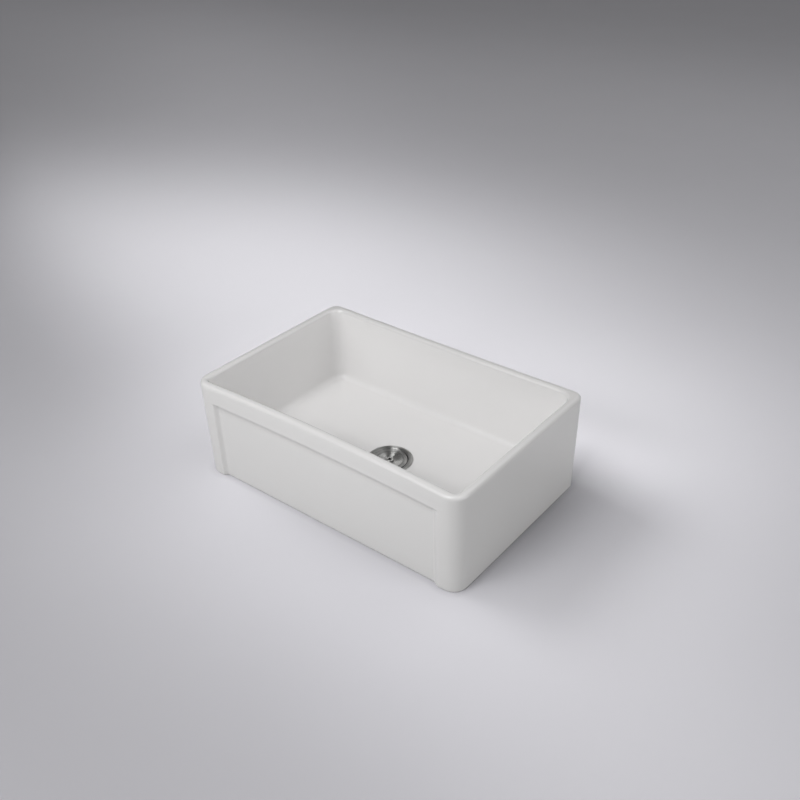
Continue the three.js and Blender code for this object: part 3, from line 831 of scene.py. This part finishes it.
def model_strainer_body(s):
    end, crest, rim = extent("strainer_body")
    seat = top("flange_seal") + GAP
    shelf = crest - s.shelf_depth
    floor = s.body_foot + s.cup_floor
    cup = s.lower_cup_radius
    dome = [
        (rim - DOME_WIDTH * i / DOME_STEPS, seat + (crest - seat) * math.sqrt(1 - (1 - i / DOME_STEPS) ** 2))
        for i in range(1, DOME_STEPS + 1)
    ]
    piece = turned("strainer_body", [
        (s.body_radius, s.body_foot),
        (s.body_radius, seat),
        (rim - FLANGE_CHAMFER, seat),
        (rim, seat + FLANGE_CHAMFER),
        *dome,
        *[(s.throat_radius + out, crest - down) for out, down in THROAT_ROLL],
        (s.cup_radius, crest - s.throat_depth),
        (s.cup_radius, shelf),
        (cup, shelf),
        (cup, floor + CUP_TURN),
        (cup - 0.4 * CUP_TURN, floor + 0.4 * CUP_TURN),
        (cup - CUP_TURN, floor),
        (s.outlet_bore + BORE_CHAMFER, floor),
        (s.outlet_bore, floor - BORE_CHAMFER),
        (s.outlet_bore, end),
        (s.outlet_radius, end),
        (s.outlet_radius, s.body_foot),
    ], edge=0.00025, steps=128, edge_steps=2)
    complete(piece, "strainer_body")


class SINK_OT_strainer_body(bpy.types.Operator):
    """Model the strainer's body: flange, taper, cup and outlet"""

    bl_idname = "sink.strainer_body"
    bl_label = "Strainer body"

    def execute(self, context):
        model_strainer_body(context.scene.sink.strainer)
        return {"FINISHED"}


def push_out(bars, width, outer, reach_out):
    """Pushes faces of the outer wall out as bars, at even turns about Z."""
    turn = math.tau / bars
    tolerance = 0.0008  # a face of the outer wall lies no further in than this

    def is_bar(centre, normal):
        upright = abs(normal.z) < 0.5
        if math.hypot(centre.x, centre.y) < outer - tolerance or not upright:
            return False
        offset = (math.atan2(centre.y, centre.x) + turn / 2) % turn - turn / 2
        return abs(offset) * outer < width / 2

    pick_faces(is_bar)
    scale = (outer + reach_out) / outer
    bpy.ops.mesh.extrude_region_move()
    bpy.ops.transform.resize(value=(scale, scale, 1), center_override=(0, 0, 0))
    close_surface()


def model_nut(node, profile, wall, bars, bar_width, edge):
    """Turns a nut's ring, pushes its lugs or ribs out of the wall and softens its edges."""
    piece = turned(node, profile, steps=NUT_STEPS)
    push_out(bars, bar_width, wall, reach(node) - wall)
    use_modifier(piece, "BEVEL", width=edge, segments=2, limit_method="ANGLE", angle_limit=math.radians(40))
    complete(piece, node)


def model_locknut(s):
    low, high, _ = extent("locknut")
    thread = s.body_radius + s.thread_gap
    wall = thread + s.locknut_wall
    profile = [(thread, low), (wall, low), (wall, high), (thread, high)]
    model_nut("locknut", profile, wall, LUGS, s.locknut_lug, edge=0.0006)


def model_coupling_nut(s):
    low, high, _ = extent("coupling_nut")
    bore = s.outlet_radius + s.thread_gap
    wall = bore + s.coupling_wall
    lip = low + s.coupling_lip
    hole = s.outlet_bore
    profile = [(hole, low), (wall, low), (wall, high), (bore, high), (bore, lip), (hole, lip)]
    model_nut("coupling_nut", profile, wall, RIBS, s.coupling_rib, edge=0.0004)


class SINK_OT_fixing(bpy.types.Operator):
    """Model the seals, rings and nuts that hold the strainer under the floor"""

    bl_idname = "sink.fixing"
    bl_label = "Fixing"

    def execute(self, context):
        s = context.scene.sink.strainer
        thread = s.body_radius + s.thread_gap
        model_ring("flange_seal", context.scene.sink.basin.hole_radius + GAP, edge=0.0002)
        model_ring("lower_gasket", thread, edge=0.0005)
        model_ring("friction_ring", thread, edge=0.0001)
        model_ring("outlet_washer", s.outlet_bore, edge=0.0003)
        model_locknut(s)
        model_coupling_nut(s)
        return {"FINISHED"}


# ---------------------------------------------------------------- basket
BASKET_STEPS = 113  # a prime number, so that no hole or slot is centred on an edge, which leaves slivers
HOLE_RINGS = ((0.009, 6), (0.018, 12), (0.0275, 16))  # radius and number of the holes in the basket's floor
SLOTS = 14
SLOT_HEIGHT = 0.012
SLOT_RISE = 0.004  # from the basket's floor to its slots
CUT_THROUGH = 0.008  # length of the cutters
CUTTER_SIDES = 20
POST_THREAD = 0.002  # radius
POST_SHANK = 0.0032  # radius


def basket_profile(s):
    low, high, rim = extent("basket_cup")
    sheet = s.basket_sheet
    floor = low + sheet
    hook = high - sheet
    hole = POST_THREAD + GAP
    return [
        (hole, low),
        (s.basket_foot - 2 * sheet, low),
        (s.basket_foot - 0.6 * sheet, low + 0.6 * sheet),
        (s.basket_foot, low + 2 * sheet),
        (s.basket_wall, hook),
        (rim, hook),
        (rim, high),
        (s.basket_wall - sheet, high),
        (s.basket_foot - sheet, floor + 2 * sheet),
        (s.basket_foot - 1.7 * sheet, floor + 0.7 * sheet),
        (s.basket_foot - 3 * sheet, floor),
        (hole, floor),
    ]


def cut_ring(piece, cutter, count):
    """Copies a finished cutter round Z and cuts the piece with all of the copies."""
    bpy.ops.mesh.select_all(action="SELECT")
    turn = math.tau / count
    for _ in range(count - 1):
        bpy.ops.mesh.duplicate()
        bpy.ops.transform.rotate(value=-turn, orient_axis="Z", center_override=(0, 0, 0))
    use_modifier(piece, "BOOLEAN", operation="DIFFERENCE", object=cutter, solver="EXACT")
    bpy.data.objects.remove(cutter)


def add_slot(s, low, high):
    """A bar with round ends along Z, lying through the basket's wall half a slot's turn from X."""
    bpy.ops.mesh.primitive_cylinder_add(vertices=CUTTER_SIDES, radius=s.basket_slot / 2, depth=CUT_THROUGH)
    bpy.ops.transform.rotate(value=-math.pi / 2, orient_axis="Y", center_override=(0, 0, 0))
    bpy.ops.transform.translate(value=(s.basket_foot, 0, low))
    faces_up = 0.05
    pick_faces(lambda centre, normal: normal.z > faces_up)
    bpy.ops.mesh.extrude_region_move(TRANSFORM_OT_translate={"value": (0, 0, high - low)})
    bpy.ops.mesh.select_all(action="SELECT")
    bpy.ops.mesh.normals_make_consistent(inside=False)
    bpy.ops.transform.rotate(value=-math.pi / SLOTS, orient_axis="Z", center_override=(0, 0, 0))


def model_basket(s):
    piece = turned("basket_cup", basket_profile(s), edge=0.0002, steps=BASKET_STEPS, edge_steps=2)
    low = bottom("basket_cup")
    for radius, count in HOLE_RINGS:
        drill = begin("drill")
        bpy.ops.mesh.primitive_cylinder_add(
            vertices=CUTTER_SIDES, radius=s.basket_hole, depth=CUT_THROUGH, location=(radius, 0, low)
        )
        cut_ring(piece, drill, count)
    slot_foot = low + s.basket_sheet + SLOT_RISE
    slot = begin("slot")
    add_slot(s, slot_foot + s.basket_slot / 2, slot_foot + SLOT_HEIGHT - s.basket_slot / 2)
    cut_ring(piece, slot, SLOTS)
    complete(piece, "basket_cup")


def model_post(s):
    """The post, with its thread under the basket's floor and a flat round head that the lid rests on."""
    low, high, head = extent("basket_post")
    shoulder = bottom("basket_cup") + s.basket_sheet + GAP
    piece = turned("basket_post", [
        (0, low),
        (POST_THREAD - 0.0004, low),
        (POST_THREAD, low + 0.0004),
        (POST_THREAD, shoulder),
        (POST_SHANK, shoulder),
        (POST_SHANK, high - 0.0045),
        (POST_SHANK + 0.0006, high - 0.0032),
        (head - 0.0006, high - 0.0026),
        (head, high - 0.0018),
        (head, high - 0.001),
        (head - 0.0012, high - 0.0002),
        (0, high),
    ], edge=0.0002, steps=64, closed=False)
    complete(piece, "basket_post")


class SINK_OT_basket(bpy.types.Operator):
    """Model the perforated basket, the post that lifts it and the post's nut"""

    bl_idname = "sink.basket"
    bl_label = "Basket"

    def execute(self, context):
        s = context.scene.sink.strainer
        model_basket(s)
        model_post(s)
        model_ring("post_nut", POST_THREAD + GAP, edge=0.0004)
        return {"FINISHED"}


# ---------------------------------------------------------------- lid
SCREW_SHANK = 0.0017  # radius
SCREW_HOLE = SCREW_SHANK + GAP  # in plate, washer and knob
DISH_STEPS = 12
SEAL_WIDTH = 0.0061
KNOB_NECK = 0.005  # radius
RECESS_DEPTH = 0.0028


def dish_profile(s, height):
    """From the dish's edge to the hub, falling in a soft S."""
    outer = reach("lid_plate") - s.lid_rim
    parts = [i / DISH_STEPS for i in range(DISH_STEPS + 1)]
    return [(mix(outer, s.lid_hub, part), height - s.lid_dish * smooth_step(part)) for part in parts]


def model_plate(s):
    hub_low, high, outer = extent("lid_plate")
    low = high - s.lid_sheet
    piece = turned("lid_plate", [
        (SCREW_HOLE, hub_low),
        *reversed(dish_profile(s, low)),
        (outer - 0.0003, low),
        (outer, low + 0.0003),
        (outer, high - 0.0005),
        (outer - 0.0005, high),
        *dish_profile(s, high),
        (SCREW_HOLE, hub_low + s.lid_sheet),
    ], steps=128)
    complete(piece, "lid_plate")


def model_seal():
    """The rubber ring, whose outer side leans out up to the lid."""
    low, high, outer = extent("lid_seal")
    inner = outer - SEAL_WIDTH
    piece = turned("lid_seal", [
        (inner, low),
        (outer - 0.0007, low),
        (outer - 0.0004, low + 0.001),
        (outer, high),
        (inner, high),
    ], edge=0.0003)
    complete(piece, "lid_seal")


def model_knob(s):
    """The knob: a flared foot, a neck, and a head that is round at its edges and recessed for the screw."""
    low, high, head = extent("lid_knob")
    recess = s.knob_recess
    well = high - RECESS_DEPTH
    piece = turned("lid_knob", [
        (SCREW_HOLE, low),
        (KNOB_NECK + 0.0015, low),
        (KNOB_NECK + 0.0012, low + 0.0007),
        (KNOB_NECK + 0.0001, low + 0.0015),
        (KNOB_NECK, high - 0.0042),
        (KNOB_NECK + 0.0006, high - 0.0034),
        (head - 0.0008, high - 0.0027),
        (head, high - 0.0019),
        (head, high - 0.0012),
        (head - 0.0005, high - 0.0004),
        (head - 0.0014, high),
        (recess + 0.0011, high),
        (recess + 0.0003, high - 0.0004),
        (recess, high - 0.001),
        (recess, well),
        (SCREW_HOLE, well),
    ], edge=0.00015, edge_steps=2)
    complete(piece, "lid_knob")


def model_screw():
    low, high, head = extent("knob_screw")
    head_top = bottom("knob_washer") - GAP
    piece = turned("knob_screw", [
        (0, low),
        (head - 0.0012, low + 0.0002),
        (head, low + 0.0010),
        (head, head_top),
        (SCREW_SHANK, head_top),
        (SCREW_SHANK, high - 0.0005),
        (SCREW_SHANK - 0.0005, high),
        (0, high),
    ], edge=0.0001, steps=64, edge_steps=2, closed=False)
    complete(piece, "knob_screw")


class SINK_OT_lid(bpy.types.Operator):
    """Model the dished lid with its seal, ring knob, washer and screw"""

    bl_idname = "sink.lid"
    bl_label = "Lid"

    def execute(self, context):
        s = context.scene.sink.strainer
        model_plate(s)
        model_seal()
        model_knob(s)
        model_screw()
        model_ring("knob_washer", SCREW_HOLE, edge=0.0002)
        return {"FINISHED"}


# ---------------------------------------------------------------- stage
# Soft boxes, aimed at the sink:
# name, turn to the right of the apron and height in degrees, power in watts, distance
SOFT_BOXES = (
    ("key_light", -2, 55, 56.5, 3.2),
    ("low_front_light", -16, 28, 27, 3.2),
    ("left_light", -50, 28, 3, 3.2),
    ("low_right_light", 103, 8, 134, 6.4),
    ("high_right_light", 90, 55, 48, 6.4),
    ("back_light", 150, 55, 10, 3.2),
)
BOX_SPREAD = 0.5625  # side of a soft box for each metre of its distance

# Suns for the floor alone: name, turn and height in degrees, strength in watts per square metre
FLOOR_LIGHTS = (
    ("floor_light", -85, 42, 1.8),
    ("front_floor_light", -60, 42, 0.75),
)
FLOOR_LIGHT_SPREAD = math.radians(26)
SUN_DISTANCE = 3.2  # only where they stand, as a sun's distance doesn't change its light

# Soft lighter and darker patches painted on the floor, as on the photo's backdrop: painted pools of light and
# shade, and painted light that lifts the key light's shadow behind the sink:
# x, y, turn in degrees, half length, half width, how much lighter the middle is
LIGHT_AND_SHADE_PATCHES = (
    (0.12, 0.12, 33, 0.34, 0.31, -0.361),
    (-3.03, 3.06, 10, 9.00, 1.46, 0.038),
    (0.20, 0.33, 12, 0.23, 0.12, 0.413),
    (-0.65, -0.90, 174, 9.00, 0.47, -0.080),
    (-7.39, 1.86, 162, 5.25, 0.30, -0.361),
    (0.16, -0.18, 143, 6.03, 0.92, 0.096),
    (-1.39, 0.74, 15, 1.55, 0.77, 0.186),
    (0.06, 0.23, 134, 0.53, 0.82, 0.187),
)
FLOOR_SIZE = 40
FLOOR_GRAIN = (0.985, 1.015)
FOOT_SHADE_REACH = 0.020  # painted contact shadow: the floor's paint is darker this close to the foot
FOOT_SHADE = 0.72  # how light it is right at the foot

CAMERA_TARGET = (-0.01477, 0.2152, 0.120)
FRAME_WIDTH = 36  # in mm
FRAME_SHIFT = (-0.0474, -0.0077)  # across and up, as shares of the frame


def from_angles(turn, height):
    """Direction from the middle of the sink, by turn to the right of the apron and height, in radians."""
    return Vector((math.sin(turn) * math.cos(height), -math.cos(turn) * math.cos(height), math.sin(height)))


def aim(thing, direction, distance, target=(0, 0, 0)):
    """Puts a light or camera out in a direction from its target and turns it to face that."""
    thing.location = Vector(target) + direction * distance
    thing.rotation_euler = (-direction).to_track_quat("-Z", "Y").to_euler()


def add_lamp(kind, name, turn, height, distance):
    """Adds a lamp that faces the sink, at a turn and height in degrees."""
    bpy.ops.object.light_add(type=kind)
    lamp = bpy.context.object
    lamp.name = name
    aim(lamp, from_angles(math.radians(turn), math.radians(height)), distance)
    return lamp


def studio_floor(studio):
    """Smooth grey paint with soft patches of painted light and shade, a painted contact shadow at the foot,
    and plain for the light it throws back.
    """
    f = Finish("studio_floor")
    level = studio.floor_level
    # Painted light and shade, patch by patch
    for x, y, turn, half_length, half_width, amount in LIGHT_AND_SHADE_PATCHES:
        patch = f.add("ShaderNodeMapping", {
            "Vector": f.place,
            "Location": (x, y, 0),
            "Rotation": (0, 0, math.radians(turn)),
            "Scale": (half_length, half_width, 1),
        }, vector_type="TEXTURE").outputs[0]
        away = f.add("ShaderNodeVectorMath", {0: patch, 1: patch}, operation="DOT_PRODUCT").outputs["Value"]
        fall = f.math("EXPONENT", f.times(away, -1.0))
        level = f.add("ShaderNodeMath", {0: fall, 1: amount, 2: level}, operation="MULTIPLY_ADD").outputs[0]
    channels = {i: f.times(level, studio.floor_tint[i]) for i in range(3)}
    tint = f.add("ShaderNodeCombineColor", channels).outputs[0]
    grain = f.spread(f.noise(3, 3), *FLOOR_GRAIN)
    # Painted contact shadow: the floor's paint darkens where the sink's foot is near
    clear = f.add("ShaderNodeAmbientOcclusion", {"Distance": FOOT_SHADE_REACH}, samples=4).outputs["AO"]
    shade = f.times(grain, f.spread(clear, FOOT_SHADE, 1))
    paint = f.add("ShaderNodeVectorMath", {0: tint, "Scale": shade}, operation="SCALE").outputs[0]
    rays = f.add("ShaderNodeLightPath").outputs
    reflected = f.math("MAXIMUM", rays["Is Glossy Ray"], rays["Is Transmission Ray"])
    seen = f.math("MAXIMUM", rays["Is Camera Ray"], reflected)
    base = f.blend(seen, tinted((1, 1, 1), studio.floor_return), paint)
    return f.wire(Base_Color=base, Roughness=0.9, Specular_IOR_Level=0.0)


class SINK_OT_stage(bpy.types.Operator):
    """Lay the floor, place the lights and set the camera"""

    bl_idname = "sink.stage"
    bl_label = "Stage"

    def execute(self, context):
        studio = context.scene.sink.studio
        floor = self.lay_floor(studio)
        self.place_lights(context, studio)
        self.light_floor(studio, floor)
        self.set_camera(context, studio)
        context.scene.view_settings.view_transform = "Standard"
        return {"FINISHED"}

    def lay_floor(self, studio):
        floor = begin("floor")
        bpy.ops.mesh.primitive_plane_add(size=FLOOR_SIZE, location=(0, 0, 0))
        bpy.ops.object.mode_set(mode="OBJECT")
        floor.data.materials.append(studio_floor(studio))
        return floor

    def place_lights(self, context, studio):
        """The light from all round and the soft boxes."""
        world = bpy.data.worlds.new("studio")
        context.scene.world = world
        world.use_nodes = True
        background = world.node_tree.nodes["Background"]
        background.inputs["Color"].default_value = (1.0, 1.0, 1.0, 1.0)
        background.inputs["Strength"].default_value = studio.fill
        for name, turn, height, power, distance in SOFT_BOXES:
            lamp = add_lamp("AREA", name, turn, height, distance)
            lamp.data.shape = "SQUARE"
            lamp.data.size = distance * BOX_SPREAD
            lamp.data.energy = power * studio.light

    def light_floor(self, studio, floor):
        """Soft light from the left that only the floor takes. The sink's shadow in it falls to the right."""
        floor_only = bpy.data.collections.new("floor_only")
        floor_only.objects.link(floor)
        for name, turn, height, strength in FLOOR_LIGHTS:
            lamp = add_lamp("SUN", name, turn, height, SUN_DISTANCE)
            lamp.data.energy = strength * studio.floor_light
            lamp.data.angle = FLOOR_LIGHT_SPREAD
            lamp.light_linking.receiver_collection = floor_only

    def set_camera(self, context, studio):
        bpy.ops.object.camera_add()
        camera = context.object
        aim(camera, from_angles(studio.azimuth, studio.elevation), studio.camera_distance, CAMERA_TARGET)
        camera.data.lens = studio.focal_length
        camera.data.sensor_width = FRAME_WIDTH
        camera.data.shift_x, camera.data.shift_y = FRAME_SHIFT
        context.scene.camera = camera


# ---------------------------------------------------------------- panel and registration
class SINK_PT_panel(bpy.types.Panel):
    """Lists the steps that make the sink"""

    bl_idname = "SINK_PT_panel"
    bl_label = "Apron front sink"
    bl_space_type = "VIEW_3D"
    bl_region_type = "UI"
    bl_category = "Sink"

    def draw(self, context):
        settings = context.scene.sink
        for step in STEPS:
            self.layout.operator(step.bl_idname)
        for group in (settings.basin, settings.strainer, settings.finishes, settings.studio):
            box = self.layout.box()
            for name in group.__annotations__:
                box.prop(group, name)


STEPS = (SINK_OT_basin, SINK_OT_strainer_body, SINK_OT_fixing, SINK_OT_basket, SINK_OT_lid, SINK_OT_stage)
CLASSES = (BasinSizes, StrainerSizes, Finishes, StudioSettings, SinkSettings, *STEPS, SINK_PT_panel)


def register():
    for one in CLASSES:
        bpy.utils.register_class(one)
    bpy.types.Scene.sink = bpy.props.PointerProperty(type=SinkSettings)


def unregister():
    del bpy.types.Scene.sink
    for one in reversed(CLASSES):
        bpy.utils.unregister_class(one)


def main():
    register()
    bpy.ops.sink.basin()
    bpy.ops.sink.strainer_body()
    bpy.ops.sink.fixing()
    bpy.ops.sink.basket()
    bpy.ops.sink.lid()
    bpy.ops.sink.stage()


if __name__ == "__main__":
    main()
